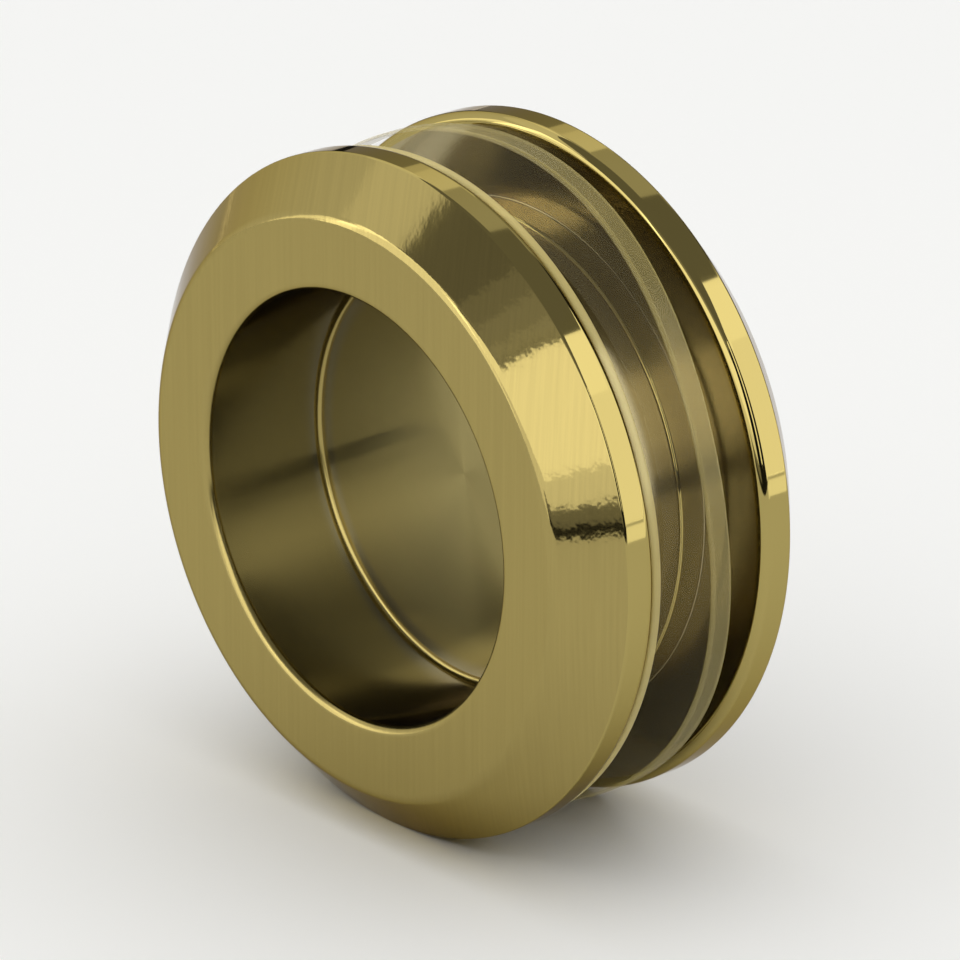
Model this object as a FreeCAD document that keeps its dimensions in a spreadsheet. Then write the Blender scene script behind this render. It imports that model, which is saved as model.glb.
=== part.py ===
"""A round back-to-back finger pull for a glass door: two turned cups and two clear washers.

The axis lies along Y, the front face looks towards -Y and +Z is up. The origin is on the
axis, midway between the two faces. Lengths are in millimetres.
"""
import FreeCAD, Part
import Sketcher
import math
import os

# The driving dimensions. Radii are from the axis, depths along it.
DIMENSIONS = [
    ("barrel_radius", 24.7),
    ("flange_lip", 7.8),
    ("flange_thickness", 7.9),
    ("bevel_width", 4.9),
    ("bevel_depth", 4.7),
    ("cup_depth", 14.0),
    ("floor_thickness", 1.0),
    ("floor_clearance", 0.4),
    ("sleeve_wall", 1.7),
    ("thread_clearance", 0.1),
    ("boss_wall", 2.3),
    ("flange_spacing", 13.3),
    ("sleeve_setback", 0.9),
    ("washer_inset", 0.3),
    ("washer_clearance", 0.3),
    ("front_washer_thickness", 1.0),
    ("rear_washer_thickness", 2.4),
    ("rear_washer_setback", 3.0),
    ("floor_round", 1.3),
    ("mouth_chamfer", 0.4),
    ("rim_chamfer", 0.8),
    ("sleeve_chamfer", 0.4),
    ("boss_chamfer", 0.5),
]

SHEET = "Sizes"
FULL_TURN = 360.0
MATCH = 1e-4


class Size:
    """A length with its number and the expression that ties it to the sheet."""

    def __init__(self, number, text):
        self.number = number
        self.text = text

    def __add__(self, other):
        return Size(self.number + other.number, f"({self.text} + {other.text})")

    def __sub__(self, other):
        return Size(self.number - other.number, f"({self.text} - {other.text})")

    def __mul__(self, factor):
        return Size(self.number * factor, f"({self.text} * {factor})")


def write_sheet(document):
    """Puts each driving dimension in its own cell and returns the sizes by name."""
    sheet = document.addObject("Spreadsheet::Sheet", SHEET)
    sizes = {}
    for row, (name, number) in enumerate(DIMENSIONS, start=1):
        sheet.set(f"A{row}", name)
        sheet.set(f"B{row}", str(number))
        sheet.setAlias(f"B{row}", name)
        sizes[name] = Size(number, f"{SHEET}.{name}")
    document.recompute()
    return sizes


def work_out_radii(sizes):
    """Adds the radii that follow from the barrel: outwards to the flange, inwards to the cup."""
    sizes["flange_radius"] = sizes["barrel_radius"] + sizes["flange_lip"]
    sizes["face_radius"] = sizes["flange_radius"] - sizes["bevel_width"]
    sizes["socket_radius"] = sizes["barrel_radius"] - sizes["sleeve_wall"]
    sizes["boss_radius"] = sizes["socket_radius"] - sizes["thread_clearance"]
    sizes["cup_radius"] = sizes["boss_radius"] - sizes["boss_wall"]


def origin_plane(body, role):
    """The body's own origin plane with this role."""
    return next(item for item in body.Origin.OriginFeatures if item.Role == role)


def draw_outline(sketch, corners):
    """Draws a closed outline through (radius, depth) corners, each bound to the sheet.

    A corner with None as its radius lies on the axis, and one with None as its depth lies on
    the face. A run that keeps its radius or its depth is held straight and sized only once.
    """
    places = []
    for radius, depth in corners:
        places.append(FreeCAD.Vector(radius.number if radius else 0.0, depth.number if depth else 0.0, 0.0))
    count = len(places)
    for index in range(count):
        sketch.addGeometry(Part.LineSegment(places[index], places[(index + 1) % count]), False)
    for index in range(count):
        sketch.addConstraint(Sketcher.Constraint("Coincident", index, 2, (index + 1) % count, 1))
    for index, (radius, depth) in enumerate(corners):
        before_radius, before_depth = corners[index - 1]
        if radius is None:
            sketch.addConstraint(Sketcher.Constraint("PointOnObject", index, 1, -2))
        elif index and radius is before_radius:
            sketch.addConstraint(Sketcher.Constraint("Vertical", index - 1))
        else:
            bind_corner(sketch, "DistanceX", index, radius)
        if depth is None:
            sketch.addConstraint(Sketcher.Constraint("PointOnObject", index, 1, -1))
        elif index and depth is before_depth:
            sketch.addConstraint(Sketcher.Constraint("Horizontal", index - 1))
        else:
            bind_corner(sketch, "DistanceY", index, depth)


def bind_corner(sketch, direction, line, size):
    """Holds the start of a line at a sheet size from the sketch's origin."""
    constraint = Sketcher.Constraint(direction, -1, 1, line, 1, size.number)
    place = sketch.addConstraint(constraint)
    sketch.setExpression(f"Constraints[{place}]", size.text)


def turned_body(document, name, corners):
    """A body turned about its Y axis from one closed outline."""
    body = document.addObject("PartDesign::Body", name)
    body.Label = name
    sketch = body.newObject("Sketcher::SketchObject", f"{name}_outline")
    sketch.AttachmentSupport = [(origin_plane(body, "XY_Plane"), "")]
    sketch.MapMode = "FlatFace"
    draw_outline(sketch, corners)
    turned = body.newObject("PartDesign::Revolution", f"{name}_turned")
    turned.Profile = sketch
    turned.ReferenceAxis = (sketch, ["V_Axis"])
    turned.Angle = FULL_TURN
    document.recompute()
    return body


def circle_edges(shape, radius, depth):
    """Names of the circular edges that have this radius and lie at this depth."""
    names = []
    for number, edge in enumerate(shape.Edges, start=1):
        if not isinstance(edge.Curve, Part.Circle):
            continue
        same_radius = math.isclose(edge.Curve.Radius, radius.number, abs_tol=MATCH)
        same_depth = math.isclose(edge.Curve.Center.y, depth.number, abs_tol=MATCH)
        if same_radius and same_depth:
            names.append(f"Edge{number}")
    return names


def dress_edge(body, kind, name, size, radius, depth):
    """Rounds or chamfers the edge circle at this radius and depth of the body's last feature."""
    base = body.Tip
    names = circle_edges(base.Shape, radius, depth)
    if not names:
        raise RuntimeError(f"{name}: no edge at radius {radius.number} and depth {depth.number}")
    dressed = body.newObject(f"PartDesign::{kind}", name)
    dressed.Base = (base, names)
    dressed.setExpression("Radius" if kind == "Fillet" else "Size", size.text)
    body.Document.recompute()


def dress_cup(body, sizes, nothing, cup_depth):
    """The dressed edges that both halves share: cup floor, cup mouth and the rim at the glass."""
    name = body.Label
    cup, flange = sizes["cup_radius"], sizes["flange_radius"]
    dress_edge(body, "Fillet", f"{name}_floor_round", sizes["floor_round"], cup, cup_depth)
    dress_edge(body, "Chamfer", f"{name}_mouth_chamfer", sizes["mouth_chamfer"], cup, nothing)
    dress_edge(body, "Chamfer", f"{name}_rim_chamfer", sizes["rim_chamfer"], flange, sizes["flange_thickness"])


def flange_corners(sizes, cup_depth):
    """The outline both halves share: cup floor, cup wall, flat face, bevel, rim and glass face."""
    return [
        (None, cup_depth),
        (sizes["cup_radius"], cup_depth),
        (sizes["cup_radius"], None),
        (sizes["face_radius"], None),
        (sizes["flange_radius"], sizes["bevel_depth"]),
        (sizes["flange_radius"], sizes["flange_thickness"]),
    ]


def make_front_cup(document, sizes, nothing, half_length):
    """The front half: cup, bevelled flange and a barrel that ends in a threaded sleeve."""
    floor_back = sizes["cup_depth"] + sizes["floor_thickness"]
    sleeve_end = sizes["flange_thickness"] + sizes["flange_spacing"] - sizes["sleeve_setback"]
    corners = flange_corners(sizes, sizes["cup_depth"]) + [
        (sizes["barrel_radius"], sizes["flange_thickness"]),
        (sizes["barrel_radius"], sleeve_end),
        (sizes["socket_radius"], sleeve_end),
        (sizes["socket_radius"], floor_back),
        (None, floor_back),
    ]
    body = turned_body(document, "front_cup", corners)
    dress_cup(body, sizes, nothing, sizes["cup_depth"])
    chamfer, barrel = sizes["sleeve_chamfer"], sizes["barrel_radius"]
    dress_edge(body, "Chamfer", "front_cup_sleeve_chamfer", chamfer, barrel, sleeve_end)
    place_on_axis(body, half_length * -1.0)
    return body


def make_rear_cup(document, sizes, nothing, half_length):
    """The rear half, turned about to face the back: its threaded boss fills the sleeve."""
    boss_radius = sizes["boss_radius"]
    floor_place = half_length * 2.0 - sizes["cup_depth"] - sizes["floor_thickness"]
    boss_end = floor_place - sizes["floor_clearance"]
    cup_depth = boss_end - sizes["floor_thickness"]
    corners = flange_corners(sizes, cup_depth) + [
        (boss_radius, sizes["flange_thickness"]),
        (boss_radius, boss_end),
        (None, boss_end),
    ]
    body = turned_body(document, "rear_cup", corners)
    dress_cup(body, sizes, nothing, cup_depth)
    dress_edge(body, "Chamfer", "rear_cup_boss_chamfer", sizes["boss_chamfer"], boss_radius, boss_end)
    place_on_axis(body, half_length, math.pi)
    return body


def make_washer(document, sizes, name, thickness, start):
    """A clear flat washer that slides on the barrel, from this depth behind the front face."""
    hole_radius = sizes["barrel_radius"] + sizes["washer_clearance"]
    outer_radius = sizes["flange_radius"] - sizes["washer_inset"]
    end = start + thickness
    corners = [(hole_radius, start), (outer_radius, start), (outer_radius, end), (hole_radius, end)]
    return turned_body(document, name, corners)


def place_on_axis(body, depth, turn=0.0):
    """Puts a body's own face at this place on the Y axis, turned about Z."""
    rotation = FreeCAD.Rotation(FreeCAD.Vector(0.0, 0.0, 1.0), math.degrees(turn))
    body.Placement = FreeCAD.Placement(FreeCAD.Vector(0.0, depth.number, 0.0), rotation)
    body.setExpression("Placement.Base.y", depth.text)


def check_document(document, bodies):
    """Stops if any object failed or any finished shape is missing or not valid."""
    for item in document.Objects:
        if "Invalid" in item.State or "Error" in item.State:
            raise RuntimeError(f"{item.Label} did not build: {item.State}")
    for body in bodies:
        if body.Shape.isNull() or not body.Shape.isValid():
            raise RuntimeError(f"{body.Label} has no valid shape")


def main():
    document = FreeCAD.newDocument("finger_pull")
    sizes = write_sheet(document)
    work_out_radii(sizes)
    nothing = Size(0.0, "0")
    half_length = sizes["flange_thickness"] + sizes["flange_spacing"] * 0.5
    glass_face = sizes["flange_thickness"] + sizes["flange_spacing"]
    rear_washer_start = glass_face - sizes["rear_washer_setback"] - sizes["rear_washer_thickness"]
    bodies = [
        make_front_cup(document, sizes, nothing, half_length),
        make_rear_cup(document, sizes, nothing, half_length),
        make_washer(document, sizes, "front_washer", sizes["front_washer_thickness"],
                    sizes["flange_thickness"]),
        make_washer(document, sizes, "rear_washer", sizes["rear_washer_thickness"], rear_washer_start),
    ]
    for washer in bodies[2:]:
        place_on_axis(washer, half_length * -1.0)
    document.recompute()
    check_document(document, bodies)
    os.makedirs("parts", exist_ok=True)
    for body in bodies:
        body.Shape.exportStep(os.path.join("parts", f"{body.Label}.step"))
        print(body.Label, round(body.Shape.Volume, 1), body.Shape.BoundBox)


main()
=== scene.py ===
"""The looks of a round back-to-back finger pull: two turned brass halves and two clear washers.

The axis lies along Y, the front face looks towards -Y and +Z is up. Everything is in metres.
"""
import math

import bpy
import numpy as np
from bpy.props import FloatProperty, FloatVectorProperty, IntProperty, PointerProperty
from mathutils import Matrix, Vector


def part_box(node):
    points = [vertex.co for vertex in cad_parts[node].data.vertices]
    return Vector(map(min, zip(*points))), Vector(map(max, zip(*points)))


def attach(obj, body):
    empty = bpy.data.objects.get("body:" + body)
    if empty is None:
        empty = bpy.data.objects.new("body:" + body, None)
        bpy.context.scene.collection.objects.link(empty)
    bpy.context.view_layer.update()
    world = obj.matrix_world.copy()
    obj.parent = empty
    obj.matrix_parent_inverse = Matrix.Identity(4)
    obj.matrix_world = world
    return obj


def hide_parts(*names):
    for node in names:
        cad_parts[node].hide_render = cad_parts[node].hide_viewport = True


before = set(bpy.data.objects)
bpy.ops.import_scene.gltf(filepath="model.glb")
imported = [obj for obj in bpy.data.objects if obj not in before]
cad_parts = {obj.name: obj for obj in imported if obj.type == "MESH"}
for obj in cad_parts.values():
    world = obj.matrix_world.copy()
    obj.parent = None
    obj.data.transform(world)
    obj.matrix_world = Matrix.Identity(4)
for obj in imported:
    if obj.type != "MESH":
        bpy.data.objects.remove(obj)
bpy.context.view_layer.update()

bl_info = {
    "name": "Round Finger Pull",
    "version": (1, 0, 0),
    "blender": (4, 5, 0),
    "location": "View3D > Sidebar > Finger Pull",
    "description": "Builds the finger pull's turned brass halves, clear washers and studio",
    "category": "Object",
}

MM = 0.001
BODY = "root"
BRASS_SLOT = "satin_brass"
VINYL_SLOT = "clear_vinyl"

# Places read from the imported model.
FRONT_LOW, FRONT_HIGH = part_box("front_cup")
REAR_LOW, REAR_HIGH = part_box("rear_cup")
FLANGE_RADIUS = FRONT_HIGH[0]
HALF_LENGTH = REAR_HIGH[1]
BOSS_LENGTH = REAR_HIGH[1] - REAR_LOW[1]
FLOOR_HEIGHT = FRONT_LOW[2]

# The finishes of a half and of a washer, in the order of their material slots.
BRUSHED, DRAWN, SPUN, POLISHED, TURNED = range(5)
SKIN, CUT, ROUNDED, PRESSED = range(4)

# Rounded corners: the points on an arc, how far past its ends the points lie that keep the
# straight runs flat, and how many roundings from the corner a finish changes.
ARC_POINTS = 7
GUARD = 0.05 * MM
PAST_BRASS_ROUND = 1.2
PAST_VINYL_ROUND = 1.4

# The belt crosses face and bevel alike along Z, so its lines are told apart in this direction
# between X and Y. Their lengths are in spacings.
BELT_ANGLE = math.radians(40.0)
BRUSH_LENGTH = 90.0
SCRATCH_LENGTH = 40.0
CHATTER_SPACING = 1.8 * MM
CHATTER_LENGTH = 1.4

# How deep the marks of each finish are. Brush and lathe marks share one.
MARK_DEPTH = 0.02 * MM
SCRATCH_DEPTH = 0.0007 * MM
CHATTER_DEPTH = 0.022 * MM
RIPPLE_DEPTH = 0.002 * MM
TOOTH_DEPTH = 0.05 * MM

# The sizes of the patterns that have no direction.
CLOUD_SIZE = 6.0 * MM
RIPPLE_SIZE = 2.5 * MM
TOOTH_SIZE = 1.5 * MM

# Roughness from the clearest to the dullest place of a finish.
BRUSHED_BLUR = (0.17, 0.25)
POLISHED_BLUR = (0.03, 0.07)
TURNED_BLUR = (0.12, 0.18)
DRAWN_BLUR = 0.09
SKIN_BLUR = 0.15
EDGE_BLUR = 0.25
PRESSED_BLUR = 0.35
BOARD_BLUR = 0.9

# The tangent runs along the marks, and this part of a turn lays the blur across them.
ACROSS_MARKS = 0.25
VINYL_IOR = 1.53

# Over these radii the cup's floor passes into its wall.
FLOOR_ENDS, WALL_BEGINS = 18.5 * MM, 20.2 * MM

BOARD_COLOUR = "F6F6F4"
BOARD_TURNS = 96
BOARD_RADIUS = 0.9
# Its near edge is what the front bevel mirrors as a dark band.
BOARD_CENTRE = (-0.345, 0.444)
SKY = 0.02

# Each softbox: its left and right azimuth and its low and high elevation in degrees as seen
# from the object, its distance in metres, its brightness and whether the brass mirrors it.
# The front ones give the bevel's right its bright patch with a dimmer foot and a fading top.
# The right and rear ones give the rims and the barrel theirs, and the left ones and the
# ceiling fill what the rest of the brass mirrors. Only the overhead one lights the floor and
# the washers' haze.
SOFTBOXES = {
    "front_right_upper": (-12.0, 56.0, 9.6, 35.5, 0.8, 2.12, True),
    "front_right_lower": (-12.0, 56.0, 1.3, 9.6, 0.8, 1.45, True),
    "front_right_glow": (20.0, 62.0, -3.3, 1.3, 0.8, 0.30, True),
    "front_right_fade": (-8.0, 56.0, 35.5, 40.0, 0.8, 0.32, True),
    "front_top_fade": (-12.0, 56.0, 40.0, 44.5, 0.8, 0.22, True),
    "front_top_end": (-14.0, 56.0, 44.5, 49.0, 0.8, 0.11, True),
    "front_low": (-13.0, 20.0, -7.0, 1.3, 0.8, 1.45, True),
    "front_left": (-49.5, -12.0, -7.0, 40.0, 0.8, 2.00, True),
    "right_strip": (86.0, 98.0, 4.0, 40.0, 0.8, 1.90, True),
    "rear_right": (116.0, 158.0, -2.5, 44.0, 0.45, 1.85, True),
    "rear_right_low": (116.0, 158.0, -6.6, -2.5, 0.27, 0.90, True),
    "rear_left": (-168.0, -126.0, -2.3, 52.0, 0.8, 0.42, True),
    "rear_left_patch": (-147.0, -131.0, 27.0, 40.0, 0.8, 0.60, True),
    "left_seam": (-57.0, -45.0, -8.0, 24.0, 0.84, 1.10, True),
    "left": (-120.2, -49.0, -4.2, 58.3, 0.8, 0.95, True),
    "ceiling": (-52.0, 52.0, 38.0, 142.0, 1.3, 0.22, True),
    "overhead": (-60.0, 60.0, 30.0, 150.0, 0.9, 1.26, False),
}


def linear(code):
    """The linear colour of an sRGB hex code, by the standard two-part curve."""
    parts = np.array([int(code[place:place + 2], 16) for place in (0, 2, 4)]) / 255.0
    curved = np.where(parts <= 0.04045, parts / 12.92, ((parts + 0.055) / 1.055) ** 2.4)
    return tuple(float(part) for part in curved)


def rounded_outline(corners):
    """An outline with its corners rounded, as radii, depths and the finish of each run.

    Each corner is (radius, depth, rounding, finish of the corner and of the run that starts
    there). A rounded corner becomes an arc of its radius, tangent to both runs: the arc's ends
    lie rounding / tan(half the opening) from the corner, its centre lies rounding / sin(half
    the opening) along the bisector, and its points are the weighted sum of both ends as seen
    from the centre, with sin((1 - share) * sweep) and sin(share * sweep) over sin(sweep) as
    weights. Each straight run also gets a point a guard's length from each end, so that smooth
    shading stays flat between them.
    """
    places = np.array([(corner[0], corner[1]) for corner in corners])
    share = np.linspace(0.0, 1.0, ARC_POINTS)[:, None]
    points, finishes = [], []
    for index, (_, _, rounding, finish) in enumerate(corners):
        here = places[index]
        at_end = index in (0, len(corners) - 1)
        if at_end or rounding == 0.0:
            points.append(here)
            finishes.append(finish)
            continue
        before = places[index - 1] - here
        after = places[index + 1] - here
        before, after = before / np.linalg.norm(before), after / np.linalg.norm(after)
        opening = math.acos(float(np.clip(before @ after, -1.0, 1.0)))
        setback = rounding / math.tan(opening / 2.0)
        bisector = (before + after) / np.linalg.norm(before + after)
        centre = here + bisector * rounding / math.sin(opening / 2.0)
        start, end = here + before * setback - centre, here + after * setback - centre
        sweep = math.pi - opening
        reach = np.sin((1.0 - share) * sweep) * start + np.sin(share * sweep) * end
        points.append(here + before * (setback + GUARD))
        finishes.append(corners[index - 1][3])
        points.extend(centre + reach / math.sin(sweep))
        finishes.extend([finish] * ARC_POINTS)
        points.append(here + after * (setback + GUARD))
        finishes.append(finish)
    return np.array(points), np.array(finishes)


def turn_angles(turns):
    """The angles of equal turns: the full circle over their number, times each one's place."""
    return np.arange(turns) * (2.0 * np.pi / turns)


def ring_points(outline, turns):
    """The outline turned about Y: (radius * cos, depth, radius * sin) at each of the turns."""
    angle = turn_angles(turns)
    radius, depth = outline[:, 0, None], outline[:, 1, None]
    return np.stack([radius * np.cos(angle), depth + 0.0 * angle, radius * np.sin(angle)], axis=-1)


def ring_faces(rows, turns, wrap):
    """Quads between neighbouring rows of rings, and from the last row to the first if wrapped."""
    row = np.arange(rows if wrap else rows - 1)[:, None]
    column = np.arange(turns)[None, :]
    above, beside = (row + 1) % rows, (column + 1) % turns
    quads = [
        row * turns + column, above * turns + column,
        above * turns + beside, row * turns + beside,
    ]
    return np.stack(quads, axis=-1).reshape(-1, 4)


def make_mesh(name, points, faces, finishes, materials):
    """A smooth-shaded object at the origin from points, faces and a finish for each face."""
    mesh = bpy.data.meshes.new(name)
    mesh.from_pydata(points.tolist(), [], [face.tolist() for face in faces])
    for material in materials:
        mesh.materials.append(material)
    mesh.polygons.foreach_set("material_index", finishes.astype(np.int32))
    mesh.polygons.foreach_set("use_smooth", np.ones(len(mesh.polygons), dtype=bool))
    mesh.update()
    if mesh.validate():
        raise RuntimeError(f"{name} has faces that don't hold together")
    piece = bpy.data.objects.new(name, mesh)
    bpy.context.scene.collection.objects.link(piece)
    return piece


def turned_solid(name, corners, turns, materials, place):
    """A solid turned from an outline whose two ends lie on the axis, where it closes in a fan.

    Its rings are the outline turned about Y, and place then turns and moves all points.
    """
    outline, finishes = rounded_outline(corners)
    inner = outline[1:-1]
    poles = [(0.0, outline[0, 1], 0.0), (0.0, outline[-1, 1], 0.0)]
    points = np.vstack([ring_points(inner, turns).reshape(-1, 3), poles])
    column = np.arange(turns)
    beside = (column + 1) % turns
    first, last, base = len(points) - 2, len(points) - 1, (len(inner) - 1) * turns
    start_fan = np.stack([np.full(turns, first), column, beside], axis=-1)
    end_fan = np.stack([np.full(turns, last), base + beside, base + column], axis=-1)
    faces = list(ring_faces(len(inner), turns, False)) + list(start_fan) + list(end_fan)
    run_finishes = np.repeat(finishes[1:-2], turns)
    fan_finishes = np.repeat([finishes[0], finishes[-2]], turns)
    points = points @ np.array(place.to_3x3()).T + np.array(place.translation)
    return make_mesh(name, points, faces, np.concatenate([run_finishes, fan_finishes]), materials)


def wavy_washer(name, low, high, form, wave, edge_finishes, materials):
    """A flat ring with rounded edges whose outer edge waves along the axis.

    The shift along the axis is wave * cos(lobes * (angle - phase)), times the share of the
    way from the hole to the outer edge.
    """
    hole_radius, outer_radius = form.hole_radius, high[0]
    edge, turns = form.edge_round, form.turns
    rounding, middle = edge_finishes
    # The roundings' finish carries their painted highlight lines.
    corners = [
        (hole_radius, low[1], form.hole_round, SKIN),
        (outer_radius, low[1], edge, rounding),
        (outer_radius, low[1] + PAST_VINYL_ROUND * edge, 0.0, middle),
        (outer_radius, high[1], edge, rounding),
        (outer_radius - PAST_VINYL_ROUND * edge, high[1], 0.0, SKIN),
        (hole_radius, high[1], form.hole_round, SKIN),
    ]
    outline, finishes = rounded_outline([corners[-1], *corners, corners[0]])
    outline, finishes = outline[1:-1], finishes[1:-1]
    points = ring_points(outline, turns)
    share = (outline[:, 0] - hole_radius) / (outer_radius - hole_radius)
    swing = np.cos(form.lobes * (turn_angles(turns) - form.phase))
    points[..., 1] -= wave * share[:, None] * swing
    faces = ring_faces(len(outline), turns, True)
    return make_mesh(name, points.reshape(-1, 3), faces, np.repeat(finishes, turns), materials)


class PullSizes(bpy.types.PropertyGroup):
    """Sizes of the two brass halves."""

    cup_radius: FloatProperty(
        name="Cup radius", description="From the axis to the cup's wall",
        default=20.6 * MM, unit="LENGTH", precision=5)
    cup_depth: FloatProperty(
        name="Cup depth", description="From the front face to the cup's floor",
        default=14.0 * MM, unit="LENGTH", precision=5)
    floor_thickness: FloatProperty(
        name="Floor thickness", description="Thickness of each cup's floor",
        default=1.0 * MM, unit="LENGTH", precision=5)
    flange_thickness: FloatProperty(
        name="Flange thickness", description="From a face to its glass side",
        default=7.9 * MM, unit="LENGTH", precision=5)
    bevel_width: FloatProperty(
        name="Bevel width", description="Across the bevel, measured along the radius",
        default=4.9 * MM, unit="LENGTH", precision=5)
    bevel_depth: FloatProperty(
        name="Bevel depth", description="Across the bevel, measured along the axis",
        default=4.7 * MM, unit="LENGTH", precision=5)
    barrel_radius: FloatProperty(
        name="Barrel radius", description="Radius of the barrel that passes the glass",
        default=24.7 * MM, unit="LENGTH", precision=5)
    sleeve_wall: FloatProperty(
        name="Sleeve wall", description="Thickness of the threaded sleeve",
        default=1.7 * MM, unit="LENGTH", precision=5)
    joint_depth: FloatProperty(
        name="Joint depth", description="From the front face to where the halves meet",
        default=18.1 * MM, unit="LENGTH", precision=5)
    thread_clearance: FloatProperty(
        name="Thread clearance", description="Between the sleeve and the boss",
        default=0.1 * MM, unit="LENGTH", precision=5)
    floor_round: FloatProperty(
        name="Floor rounding", description="Radius where the cup's wall meets its floor",
        default=0.6 * MM, unit="LENGTH", precision=5)
    mouth_round: FloatProperty(
        name="Mouth rounding", description="Radius of the edge that fingers touch",
        default=0.8 * MM, unit="LENGTH", precision=5)
    face_round: FloatProperty(
        name="Face rounding", description="Radius where the flat face meets the bevel",
        default=1.4 * MM, unit="LENGTH", precision=5)
    bevel_round: FloatProperty(
        name="Bevel rounding", description="Radius where the bevel meets the rim",
        default=0.36 * MM, unit="LENGTH", precision=5)
    rim_round: FloatProperty(
        name="Rim rounding", description="Radius where the rim meets the glass side",
        default=0.9 * MM, unit="LENGTH", precision=5)
    collar_round: FloatProperty(
        name="Collar rounding", description="Radius of the collar's edge at the joint",
        default=0.4 * MM, unit="LENGTH", precision=5)
    corner_round: FloatProperty(
        name="Corner rounding", description="Radius of the sleeve's end and the inner corners",
        default=0.12 * MM, unit="LENGTH", precision=5)
    turns: IntProperty(
        name="Turns", description="Divisions of each half round the axis", default=512, min=64)


class WasherForm(bpy.types.PropertyGroup):
    """Form of the soft washers."""

    hole_radius: FloatProperty(
        name="Hole radius", description="From the axis to the washer's inner edge",
        default=25.0 * MM, unit="LENGTH", precision=5)
    edge_round: FloatProperty(
        name="Edge rounding", description="Radius of the washer's outer edges",
        default=0.3 * MM, unit="LENGTH", precision=5)
    hole_round: FloatProperty(
        name="Hole rounding", description="Radius of the edges of the washer's hole",
        default=0.05 * MM, unit="LENGTH", precision=5)
    wave: FloatProperty(
        name="Wave", description="How far the loose washer's outer edge swings along the axis",
        default=1.1 * MM, unit="LENGTH", precision=5)
    lobes: IntProperty(
        name="Lobes", description="Waves in one turn of the loose washer", default=3)
    phase: FloatProperty(
        name="Phase", description="Angle above +X where the loose washer swings furthest forward",
        default=math.radians(15.0), unit="ROTATION")
    turns: IntProperty(
        name="Turns", description="Divisions of each washer round the axis", default=384, min=64)


class BrassFinish(bpy.types.PropertyGroup):
    """Colour and surface of the brass."""

    brushed_colour: FloatVectorProperty(
        name="Brushed colour", description="Reflected colour of the brushed faces and bevels",
        default=linear("A29259"), size=3, subtype="COLOR", min=0.0, max=1.0)
    polished_colour: FloatVectorProperty(
        name="Polished colour", description="Reflected colour of the polished rims",
        default=linear("AA9A5D"), size=3, subtype="COLOR", min=0.0, max=1.0)
    turned_colour: FloatVectorProperty(
        name="Turned colour", description="Reflected colour of the barrel and the glass sides",
        default=linear("A69B78"), size=3, subtype="COLOR", min=0.0, max=1.0)
    # Painted shade: the cup's floor and wall are the same brass as the faces, given darker colours
    # for the shade inside the cup; the wall's is also greyer, to keep its reflections of itself
    # pale.
    floor_shaded_colour: FloatVectorProperty(
        name="Floor colour", description="Reflected colour of the cup's floor",
        default=linear("9A8E5E"), size=3, subtype="COLOR", min=0.0, max=1.0)
    wall_shaded_colour: FloatVectorProperty(
        name="Wall colour", description="Reflected colour of the cup's wall, which mirrors itself",
        default=linear("989484"), size=3, subtype="COLOR", min=0.0, max=1.0)
    edge_tint: FloatVectorProperty(
        name="Edge tint", description="Tint of the brass where it is seen at a grazing angle",
        default=linear("C4BBB0"), size=3, subtype="COLOR", min=0.0, max=1.0)
    stroke_depth: FloatProperty(
        name="Stroke depth", description="How much darker the brush strokes are", default=0.12)
    brush_spacing: FloatProperty(
        name="Brush spacing", description="Between the straight brush lines",
        default=0.30 * MM, unit="LENGTH", precision=5)
    floor_blur: FloatProperty(
        name="Floor blur", description="Roughness of the cup's floor", default=0.24)
    wall_blur: FloatProperty(
        name="Wall blur", description="Roughness of the cup's wall", default=0.11)
    spin_spacing: FloatProperty(
        name="Spin spacing", description="Between the cup's turning marks",
        default=0.25 * MM, unit="LENGTH", precision=5)


class VinylFinish(bpy.types.PropertyGroup):
    """Colour and surface of the clear vinyl."""

    colour: FloatVectorProperty(
        name="Colour", description="Tint of the vinyl's faces",
        default=linear("D8CDA8"), size=3, subtype="COLOR", min=0.0, max=1.0)
    face_haze: FloatProperty(
        name="Face haze", description="Share of what lies behind that the faces cover",
        default=0.05)
    # Painted glow: the edges' stronger yellow stands in for the light, coloured by the brass, that
    # the clear sheet carries to them.
    edge_glow_colour: FloatVectorProperty(
        name="Edge colour", description="Tint of the vinyl's edges",
        default=linear("E7D485"), size=3, subtype="COLOR", min=0.0, max=1.0)
    # Partly the cut edge's haze, partly painted glow: this share of the edge shows the yellow glow
    # colour.
    edge_haze_and_glow: FloatProperty(
        name="Edge haze", description="Share that the loose washer's edge covers",
        default=0.24)
    # Painted highlight: the roundings of the loose edge take a larger share of the yellow glow
    # colour, which draws their highlight lines.
    rounded_haze_and_highlight: FloatProperty(
        name="Rounded haze", description="Share that the roundings of the loose edge cover",
        default=0.36)
    # Partly haze, partly painted glow: the front washer's pressed edge shows the most of the
    # yellow glow colour.
    pressed_haze_and_glow: FloatProperty(
        name="Pressed haze", description="Share that the front washer's edge covers",
        default=0.62)


class StudioSettings(bpy.types.PropertyGroup):
    """Camera, lights and floor."""

    azimuth: FloatProperty(
        name="Azimuth", description="Of the camera, from -Y towards +X",
        default=0.8433, unit="ROTATION")
    elevation: FloatProperty(
        name="Elevation", description="Of the camera above the horizon",
        default=0.3801, unit="ROTATION")
    distance: FloatProperty(
        name="Distance", description="From the camera to the front face",
        default=600.0 * MM, unit="LENGTH")
    aim_right: FloatProperty(
        name="Aim right", description="Camera's step to its right from the face's centre",
        default=11.93 * MM, unit="LENGTH", precision=5)
    aim_up: FloatProperty(
        name="Aim up", description="Camera's step upwards from the face's centre",
        default=2.81 * MM, unit="LENGTH", precision=5)
    lens: FloatProperty(
        name="Lens", description="Focal length in millimetres", default=246.9)
    light: FloatProperty(
        name="Light", description="Strength of all the lights", default=1.0)


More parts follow.
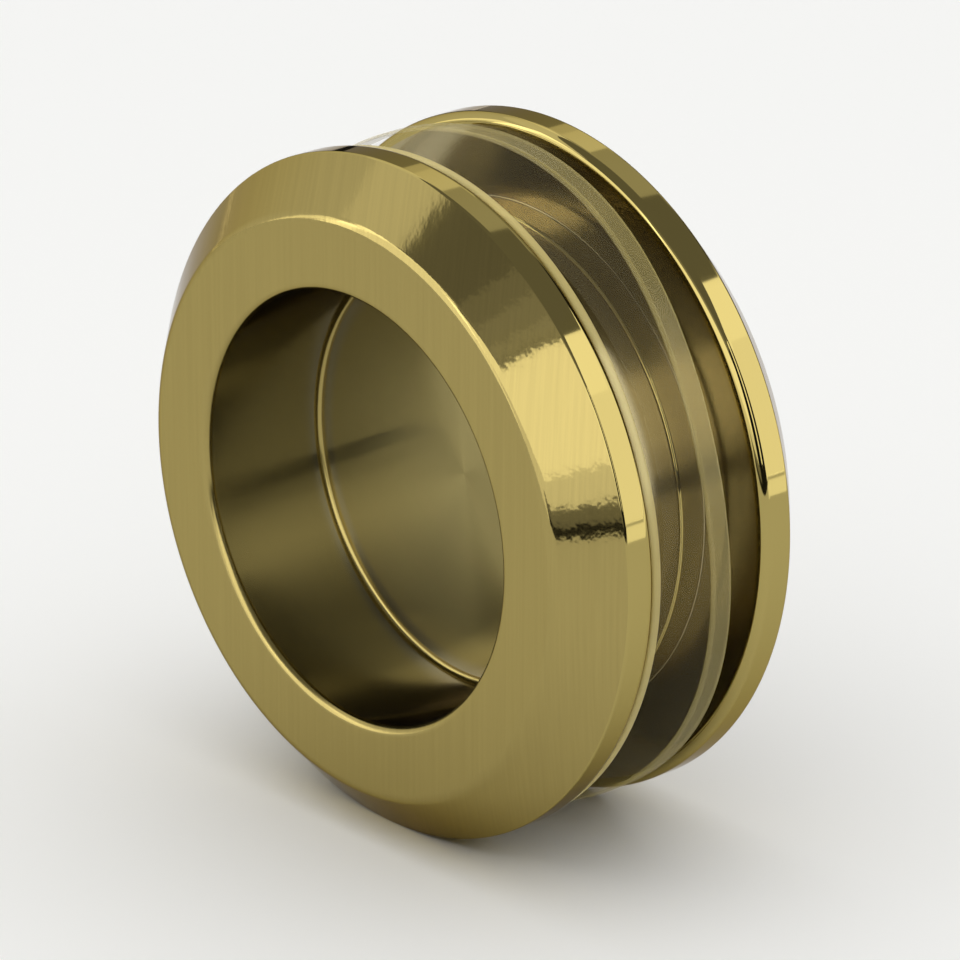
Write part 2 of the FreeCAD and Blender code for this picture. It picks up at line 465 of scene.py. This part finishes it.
def add_node(tree, kind, settings=(), links=()):
    """A new node with its settings, and links to its inputs from other nodes' outputs."""
    node = tree.nodes.new(kind)
    for key, value in dict(settings).items():
        if isinstance(key, str) and hasattr(node, key):
            setattr(node, key, value)
        else:
            node.inputs[key].default_value = value
    for key, source in dict(links).items():
        tree.links.new(source, node.inputs[key])
    return node


def new_material(name):
    """A material with an empty node tree, its output node and the place on the piece."""
    material = bpy.data.materials.new(name)
    material.use_nodes = True
    tree = material.node_tree
    tree.nodes.clear()
    output = add_node(tree, "ShaderNodeOutputMaterial")
    place = add_node(tree, "ShaderNodeTexCoord").outputs["Object"]
    return material, tree, output, place


def belt_lines(tree, place, spacing, length):
    """Noise drawn out along Z: lines a spacing apart and this many spacings long.

    It reads the place across the belt, x * cos(belt angle) + y * sin(belt angle), and the
    height, the first in spacings and the second in line lengths.
    """
    across = add_node(
        tree, "ShaderNodeVectorMath",
        {"operation": "DOT_PRODUCT", 1: (math.cos(BELT_ANGLE), math.sin(BELT_ANGLE), 0.0)},
        {0: place})
    height = add_node(tree, "ShaderNodeSeparateXYZ", (), {"Vector": place})
    lines = add_node(
        tree, "ShaderNodeCombineXYZ", (),
        {"X": across.outputs["Value"], "Z": height.outputs["Z"]})
    stretch = add_node(
        tree, "ShaderNodeMapping", {"Scale": (1.0 / spacing, 1.0, 1.0 / (length * spacing))},
        {"Vector": lines.outputs[0]})
    return add_node(
        tree, "ShaderNodeTexNoise", {"Scale": 1.0, "Detail": 3.0, "Roughness": 0.6},
        {"Vector": stretch.outputs[0]})


def stroke_tone(tree, finish, strokes):
    """The brushed colour, a little darker in the strokes and lighter between them."""
    colour = np.array(finish.brushed_colour)
    tone = add_node(
        tree, "ShaderNodeMix",
        {"data_type": "RGBA", 6: (*(colour * (1.0 - finish.stroke_depth)), 1.0),
         7: (*(colour * (1.0 + finish.stroke_depth)), 1.0)},
        {0: strokes.outputs["Fac"]})
    return tone.outputs[2]


# All five brass finishes are one metal, so they keep the default IOR and are fully metallic.
# Their roughness starts from what such a surface usually has, and was matched to the photo.


def brushed_brass(finish):
    """Brass, its face brushed on a belt along Z. The cup's two roundings share the finish.

    To the eye: an even, soft gold with fine straight lines, which blur reflections sideways
    until no shape is left in them. The real lines are near 0.05 mm apart and too fine to show,
    so they are drawn as coarse as the finish's brush spacing.
    """
    material, tree, output, place = new_material("brushed_brass")
    strokes = belt_lines(tree, place, finish.brush_spacing, BRUSH_LENGTH)
    bump = add_node(
        tree, "ShaderNodeBump", {"Strength": 0.10, "Distance": MARK_DEPTH},
        {"Height": strokes.outputs["Fac"]})
    rough = add_node(
        tree, "ShaderNodeMapRange", {"To Min": BRUSHED_BLUR[0], "To Max": BRUSHED_BLUR[1]},
        {"Value": strokes.outputs["Fac"]})
    tone = stroke_tone(tree, finish, strokes)
    upright = add_node(tree, "ShaderNodeCombineXYZ", {"Z": 1.0})
    shader = add_node(
        tree, "ShaderNodeBsdfPrincipled",
        {"Specular Tint": (*finish.edge_tint, 1.0), "Metallic": 1.0, "Anisotropic": 0.6,
         "Anisotropic Rotation": ACROSS_MARKS},
        {"Base Color": tone, "Roughness": rough.outputs["Result"],
         "Normal": bump.outputs["Normal"], "Tangent": upright.outputs["Vector"]})
    tree.links.new(shader.outputs["BSDF"], output.inputs["Surface"])
    return material


def drawn_brass(finish):
    """Brass, its bevel drawn over a fine belt along Z.

    To the eye: nearly a mirror, whose patches of light have torn ends, because faint upright
    lines and the belt's coarser chatter shift what it mirrors. The real lines are too fine to
    show, so they are drawn as coarse as the finish's brush spacing.
    """
    material, tree, output, place = new_material("drawn_brass")
    normal, tone = None, None
    waves = (
        (finish.brush_spacing, SCRATCH_LENGTH, SCRATCH_DEPTH),
        (CHATTER_SPACING, CHATTER_LENGTH, CHATTER_DEPTH),
    )
    for spacing, length, depth in waves:
        strokes = belt_lines(tree, place, spacing, length)
        before = {"Normal": normal.outputs["Normal"]} if normal else {}
        normal = add_node(
            tree, "ShaderNodeBump", {"Strength": 1.0, "Distance": depth},
            {"Height": strokes.outputs["Fac"], **before})
        tone = tone or stroke_tone(tree, finish, strokes)
    upright = add_node(tree, "ShaderNodeCombineXYZ", {"Z": 1.0})
    shader = add_node(
        tree, "ShaderNodeBsdfPrincipled",
        {"Specular Tint": (*finish.edge_tint, 1.0), "Metallic": 1.0, "Roughness": DRAWN_BLUR,
         "Anisotropic": 0.7, "Anisotropic Rotation": ACROSS_MARKS},
        {"Base Color": tone, "Normal": normal.outputs["Normal"],
         "Tangent": upright.outputs["Vector"]})
    tree.links.new(shader.outputs["BSDF"], output.inputs["Surface"])
    return material


def spun_brass(finish):
    """Brass, its cup finished on the lathe with fine emery.

    To the eye: rings about the axis that draw reflections out across them, into a broad glow
    on the floor and soft bands down the wall. The real rings are near 0.05 mm apart and too
    fine to show, so they are drawn as coarse as the finish's spin spacing. They are noise in
    the radius minus the place along Y, which changes evenly along floor and wall alike.
    """
    material, tree, output, place = new_material("spun_brass")
    parts = add_node(tree, "ShaderNodeSeparateXYZ", (), {"Vector": place})
    flat = add_node(
        tree, "ShaderNodeCombineXYZ", (), {"X": parts.outputs["X"], "Z": parts.outputs["Z"]})
    radius = add_node(tree, "ShaderNodeVectorMath", {"operation": "LENGTH"}, {0: flat.outputs[0]})
    along = add_node(
        tree, "ShaderNodeMath", {"operation": "SUBTRACT"},
        {0: radius.outputs["Value"], 1: parts.outputs["Y"]})
    turn = add_node(
        tree, "ShaderNodeMath", {"operation": "MULTIPLY", 1: 1.0 / finish.spin_spacing},
        {0: along.outputs[0]})
    marks = add_node(
        tree, "ShaderNodeTexNoise",
        {"noise_dimensions": "1D", "Scale": 1.0, "Detail": 3.0, "Roughness": 0.6},
        {"W": turn.outputs[0]})
    bump = add_node(
        tree, "ShaderNodeBump", {"Strength": 0.12, "Distance": MARK_DEPTH},
        {"Height": marks.outputs["Fac"]})
    outward = add_node(
        tree, "ShaderNodeMapRange", {"From Min": FLOOR_ENDS, "From Max": WALL_BEGINS},
        {"Value": radius.outputs["Value"]})
    rough = add_node(
        tree, "ShaderNodeMapRange", {"To Min": finish.floor_blur, "To Max": finish.wall_blur},
        {"Value": outward.outputs["Result"]})
    # Painted shade: the colour passes from the darkened floor colour to the darkened, greyer wall
    # colour, standing in for the shade and self-reflections in the cup.
    tone = add_node(
        tree, "ShaderNodeMix",
        {"data_type": "RGBA", 6: (*finish.floor_shaded_colour, 1.0), 7: (*finish.wall_shaded_colour, 1.0)},
        {0: outward.outputs["Result"]})
    around = add_node(
        tree, "ShaderNodeVectorMath", {"operation": "CROSS_PRODUCT", 1: (0.0, 1.0, 0.0)},
        {0: place})
    shader = add_node(
        tree, "ShaderNodeBsdfPrincipled",
        {"Specular Tint": (*finish.edge_tint, 1.0), "Metallic": 1.0, "Anisotropic": 0.97,
         "Anisotropic Rotation": ACROSS_MARKS},
        {"Base Color": tone.outputs[2], "Roughness": rough.outputs["Result"],
         "Normal": bump.outputs["Normal"], "Tangent": around.outputs["Vector"]})
    tree.links.new(shader.outputs["BSDF"], output.inputs["Surface"])
    return material


def buffed_brass(name, colour, edge_tint, blur):
    """Brass smooth enough to mirror, its roughness drifting between two values in clouds."""
    material, tree, output, place = new_material(name)
    clouds = add_node(
        tree, "ShaderNodeTexNoise", {"Scale": 1.0 / CLOUD_SIZE, "Detail": 4.0},
        {"Vector": place})
    rough = add_node(
        tree, "ShaderNodeMapRange", {"To Min": blur[0], "To Max": blur[1]},
        {"Value": clouds.outputs["Fac"]})
    shader = add_node(
        tree, "ShaderNodeBsdfPrincipled",
        {"Base Color": (*colour, 1.0), "Specular Tint": (*edge_tint, 1.0), "Metallic": 1.0},
        {"Roughness": rough.outputs["Result"]})
    tree.links.new(shader.outputs["BSDF"], output.inputs["Surface"])
    return material


def polished_brass(finish):
    """Brass, its rim and the collar's edge buffed on a wheel.

    To the eye: clear reflections with sharp ends, hardly softened by the buffing's clouds.
    """
    return buffed_brass(
        "polished_brass", finish.polished_colour, finish.edge_tint, POLISHED_BLUR)


def turned_brass(finish):
    """Brass, its barrel and glass sides as they leave the lathe's tool.

    To the eye: paler than the buffed rim, with reflections that keep their place and lose
    their ends.
    """
    return buffed_brass("turned_brass", finish.turned_colour, finish.edge_tint, TURNED_BLUR)


def clear_vinyl(name, tint, haze, blur):
    """Soft clear vinyl (PVC), moulded: this share of it covers what lies behind.

    To the eye: a gloss over the brass behind it that gentle ripples break up.
    """
    material, tree, output, place = new_material(name)
    ripples = add_node(
        tree, "ShaderNodeTexNoise", {"Scale": 1.0 / RIPPLE_SIZE, "Detail": 3.0},
        {"Vector": place})
    bump = add_node(
        tree, "ShaderNodeBump", {"Strength": 1.0, "Distance": RIPPLE_DEPTH},
        {"Height": ripples.outputs["Fac"]})
    # On the edges the yellow tint and larger share are painted glow, and on the roundings painted
    # highlight.
    shader = add_node(
        tree, "ShaderNodeBsdfPrincipled",
        {"Base Color": (*tint, 1.0), "Roughness": blur, "IOR": VINYL_IOR, "Alpha": haze},
        {"Normal": bump.outputs["Normal"]})
    tree.links.new(shader.outputs["BSDF"], output.inputs["Surface"])
    return material


def vinyl_materials(finish):
    """The vinyl's finishes in the order of a washer's slots.

    The faces are nearly clear. An edge is painted hazy and yellow, a glow that stands in for
    the light, coloured by the brass, that the sheet carries to it; more so on the roundings as
    painted highlight lines, and most where the flange presses it.
    """
    return [
        clear_vinyl("clear_vinyl", finish.colour, finish.face_haze, SKIN_BLUR),
        clear_vinyl("cut_vinyl_glow", finish.edge_glow_colour, finish.edge_haze_and_glow, EDGE_BLUR),
        clear_vinyl("rounded_vinyl_highlight", finish.edge_glow_colour, finish.rounded_haze_and_highlight, EDGE_BLUR),
        clear_vinyl("pressed_vinyl_glow", finish.edge_glow_colour, finish.pressed_haze_and_glow, PRESSED_BLUR),
    ]


def painted_board():
    """Board with matt paint put on with a roller.

    To the eye: a pale, even floor without gloss, with the roller's faint tooth.
    """
    material, tree, output, place = new_material("painted_board")
    tooth = add_node(
        tree, "ShaderNodeTexNoise", {"Scale": 1.0 / TOOTH_SIZE, "Detail": 2.0},
        {"Vector": place})
    bump = add_node(
        tree, "ShaderNodeBump", {"Strength": 0.05, "Distance": TOOTH_DEPTH},
        {"Height": tooth.outputs["Fac"]})
    shader = add_node(
        tree, "ShaderNodeBsdfPrincipled",
        {"Base Color": (*linear(BOARD_COLOUR), 1.0), "Roughness": BOARD_BLUR,
         "Specular IOR Level": 0.0},
        {"Normal": bump.outputs["Normal"]})
    tree.links.new(shader.outputs["BSDF"], output.inputs["Surface"])
    return material


def brass_materials(finish):
    """The brass finishes in the order of a half's slots, made once and shared."""
    makers = {
        "brushed_brass": brushed_brass, "drawn_brass": drawn_brass, "spun_brass": spun_brass,
        "polished_brass": polished_brass, "turned_brass": turned_brass,
    }
    return [bpy.data.materials.get(name) or maker(finish) for name, maker in makers.items()]


def flange_outline(sizes, cup_depth):
    """The outline from the cup's floor out over the face and the bevel to the glass side."""
    face_radius = FLANGE_RADIUS - sizes.bevel_width
    wall_end = cup_depth - PAST_BRASS_ROUND * sizes.floor_round
    rim_end = FLANGE_RADIUS - PAST_BRASS_ROUND * sizes.rim_round
    return [
        (0.0, cup_depth, 0.0, SPUN),
        (sizes.cup_radius, cup_depth, sizes.floor_round, BRUSHED),
        (sizes.cup_radius, wall_end, 0.0, SPUN),
        (sizes.cup_radius, 0.0, sizes.mouth_round, BRUSHED),
        (face_radius, 0.0, sizes.face_round, DRAWN),
        (FLANGE_RADIUS, sizes.bevel_depth, sizes.bevel_round, POLISHED),
        (FLANGE_RADIUS, sizes.flange_thickness, sizes.rim_round, POLISHED),
        (rim_end, sizes.flange_thickness, 0.0, TURNED),
    ]


def settle(piece, slot, *nodes):
    """Makes a piece stand for its CAD node and ride with the object."""
    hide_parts(*nodes)
    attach(piece, BODY)


class FINGERPULL_OT_front_cup(bpy.types.Operator):
    """Builds the front half with its cup, bevelled flange, barrel and threaded sleeve"""

    bl_idname = "finger_pull.front_cup"
    bl_label = "Front cup"

    def execute(self, context):
        sizes = context.scene.pull_sizes
        socket_radius = sizes.barrel_radius - sizes.sleeve_wall
        floor_back = sizes.cup_depth + sizes.floor_thickness
        corners = flange_outline(sizes, sizes.cup_depth) + [
            (sizes.barrel_radius, sizes.flange_thickness, sizes.corner_round, TURNED),
            (sizes.barrel_radius, sizes.joint_depth, sizes.corner_round, TURNED),
            (socket_radius, sizes.joint_depth, sizes.corner_round, SPUN),
            (socket_radius, floor_back, sizes.corner_round, SPUN),
            (0.0, floor_back, 0.0, SPUN),
        ]
        place = Matrix.Translation((0.0, -HALF_LENGTH, 0.0))
        materials = brass_materials(context.scene.brass_finish)
        piece = turned_solid("front_cup_turned", corners, sizes.turns, materials, place)
        settle(piece, BRASS_SLOT, "front_cup")
        return {"FINISHED"}


class FINGERPULL_OT_rear_cup(bpy.types.Operator):
    """Builds the rear half with its cup, bevelled flange, collar and threaded boss"""

    bl_idname = "finger_pull.rear_cup"
    bl_label = "Rear cup"

    def execute(self, context):
        sizes = context.scene.pull_sizes
        boss_radius = sizes.barrel_radius - sizes.sleeve_wall - sizes.thread_clearance
        collar_end = 2.0 * HALF_LENGTH - sizes.joint_depth - sizes.thread_clearance
        corners = flange_outline(sizes, BOSS_LENGTH - sizes.floor_thickness) + [
            (sizes.barrel_radius, sizes.flange_thickness, sizes.corner_round, TURNED),
            (sizes.barrel_radius, collar_end, sizes.collar_round, POLISHED),
            (boss_radius, collar_end, sizes.corner_round, TURNED),
            (boss_radius, BOSS_LENGTH, sizes.corner_round, SPUN),
            (0.0, BOSS_LENGTH, 0.0, SPUN),
        ]
        place = Matrix.Translation((0.0, HALF_LENGTH, 0.0)) @ Matrix.Rotation(math.pi, 4, "Z")
        materials = brass_materials(context.scene.brass_finish)
        piece = turned_solid("rear_cup_turned", corners, sizes.turns, materials, place)
        settle(piece, BRASS_SLOT, "rear_cup")
        return {"FINISHED"}


class FINGERPULL_OT_washers(bpy.types.Operator):
    """Builds the flat front washer and the loose, slightly waved rear washer"""

    bl_idname = "finger_pull.washers"
    bl_label = "Washers"

    def execute(self, context):
        form = context.scene.washer_form
        materials = vinyl_materials(context.scene.vinyl_finish)
        # The loose washer's roundings take the finish with the painted highlight.
        washers = (
            ("front_washer", 0.0, (PRESSED, PRESSED)),
            ("rear_washer", form.wave, (ROUNDED, CUT)),
        )
        for node, wave, edge_finishes in washers:
            low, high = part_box(node)
            piece = wavy_washer(
                f"{node}_moulded", low, high, form, wave, edge_finishes, materials)
            settle(piece, VINYL_SLOT, node)
        return {"FINISHED"}


def direction(azimuth, elevation):
    """The unit vector at an azimuth from -Y towards +X and an elevation above the horizon."""
    level = math.cos(elevation)
    return Vector((math.sin(azimuth) * level, -math.cos(azimuth) * level, math.sin(elevation)))


def add_floor():
    """A round board under the object: (radius * cos, radius * sin) about its own centre."""
    disc = ring_points(np.array([(BOARD_RADIUS, 0.0)]), BOARD_TURNS)[0][:, [0, 2, 1]]
    points = np.vstack([disc, [(0.0, 0.0, 0.0)]]) + (*BOARD_CENTRE, FLOOR_HEIGHT)
    column = np.arange(BOARD_TURNS)
    centre = np.full(BOARD_TURNS, BOARD_TURNS)
    faces = np.stack([column, (column + 1) % BOARD_TURNS, centre], axis=-1)
    board = make_mesh("floor_board", points, faces, np.zeros(BOARD_TURNS), [painted_board()])


def add_softbox(name, left, right, low, high, distance, radiance, mirrored):
    """A soft rectangular light that faces the object and spans these angles as seen from it.

    Its width is twice the distance times the tangent of half the angle, and its power is
    pi * area * radiance. A mirrored one is there for the brass to reflect, and the others light
    the floor and leave the brass dark.
    """
    across, upward = math.radians(right - left), math.radians(high - low)
    away = direction(math.radians(left + right) / 2.0, math.radians(low + high) / 2.0)
    light = bpy.data.lights.new(name, "AREA")
    light.shape = "RECTANGLE"
    light.size = 2.0 * distance * math.tan(across / 2.0)
    light.size_y = 2.0 * distance * math.tan(upward / 2.0)
    light.energy = math.pi * light.size * light.size_y * radiance
    lamp = bpy.data.objects.new(name, light)
    lamp.location = away * distance
    lamp.rotation_mode = "QUATERNION"
    lamp.rotation_quaternion = away.to_track_quat("Z", "Y")
    lamp.visible_camera = False
    lamp.visible_glossy = mirrored
    lamp.visible_diffuse = not mirrored
    bpy.context.scene.collection.objects.link(lamp)


def add_air(scene, strength):
    """The faint even light that fills what no softbox covers."""
    world = bpy.data.worlds.new("studio_air")
    scene.world = world
    world.use_nodes = True
    sky = world.node_tree.nodes["Background"]
    sky.inputs["Color"].default_value = (1.0, 1.0, 1.0, 1.0)
    sky.inputs["Strength"].default_value = strength


def add_camera(scene, studio):
    """The camera: the face's centre, plus its distance away, plus its steps right and up."""
    data = bpy.data.cameras.new("studio_camera")
    data.lens = studio.lens
    camera = bpy.data.objects.new("studio_camera", data)
    away = direction(studio.azimuth, studio.elevation)
    turn = away.to_track_quat("Z", "Y")
    camera.rotation_mode = "QUATERNION"
    camera.rotation_quaternion = turn
    step = turn @ Vector((studio.aim_right, studio.aim_up, 0.0))
    camera.location = Vector((0.0, -HALF_LENGTH, 0.0)) + away * studio.distance + step
    scene.collection.objects.link(camera)
    scene.camera = camera


class FINGERPULL_OT_studio(bpy.types.Operator):
    """Sets up the pale floor, the soft lights and the camera"""

    bl_idname = "finger_pull.studio"
    bl_label = "Studio"

    def execute(self, context):
        scene, studio = context.scene, context.scene.studio_settings
        add_floor()
        for name, (*span, radiance, mirrored) in SOFTBOXES.items():
            add_softbox(name, *span, radiance * studio.light, mirrored)
        add_air(scene, SKY * studio.light)
        scene.view_settings.view_transform = "Standard"
        add_camera(scene, studio)
        return {"FINISHED"}


class FINGERPULL_PT_panel(bpy.types.Panel):
    """Lists the steps and the values that a user would change"""

    bl_label = "Finger Pull"
    bl_idname = "FINGERPULL_PT_panel"
    bl_space_type = "VIEW_3D"
    bl_region_type = "UI"
    bl_category = "Finger Pull"

    def draw(self, context):
        for step in STEPS:
            self.layout.operator(step.bl_idname)
        for name in GROUPS:
            group = getattr(context.scene, name)
            box = self.layout.box()
            for key in group.__annotations__:
                box.prop(group, key)


STEPS = (
    FINGERPULL_OT_studio, FINGERPULL_OT_front_cup, FINGERPULL_OT_rear_cup,
    FINGERPULL_OT_washers,
)
GROUPS = {
    "pull_sizes": PullSizes,
    "washer_form": WasherForm,
    "brass_finish": BrassFinish,
    "vinyl_finish": VinylFinish,
    "studio_settings": StudioSettings,
}


def register():
    """Registers the classes and gives the scene its property groups."""
    for kind in (*GROUPS.values(), *STEPS, FINGERPULL_PT_panel):
        bpy.utils.register_class(kind)
    for name, group in GROUPS.items():
        setattr(bpy.types.Scene, name, PointerProperty(type=group))


def unregister():
    """Takes back all that register gives."""
    for name in GROUPS:
        delattr(bpy.types.Scene, name)
    for kind in (FINGERPULL_PT_panel, *reversed(STEPS), *reversed(GROUPS.values())):
        bpy.utils.unregister_class(kind)


def main():
    """Builds the scene in order."""
    register()
    bpy.ops.finger_pull.studio()
    bpy.ops.finger_pull.front_cup()
    bpy.ops.finger_pull.rear_cup()
    bpy.ops.finger_pull.washers()


if __name__ == "__main__":
    main()
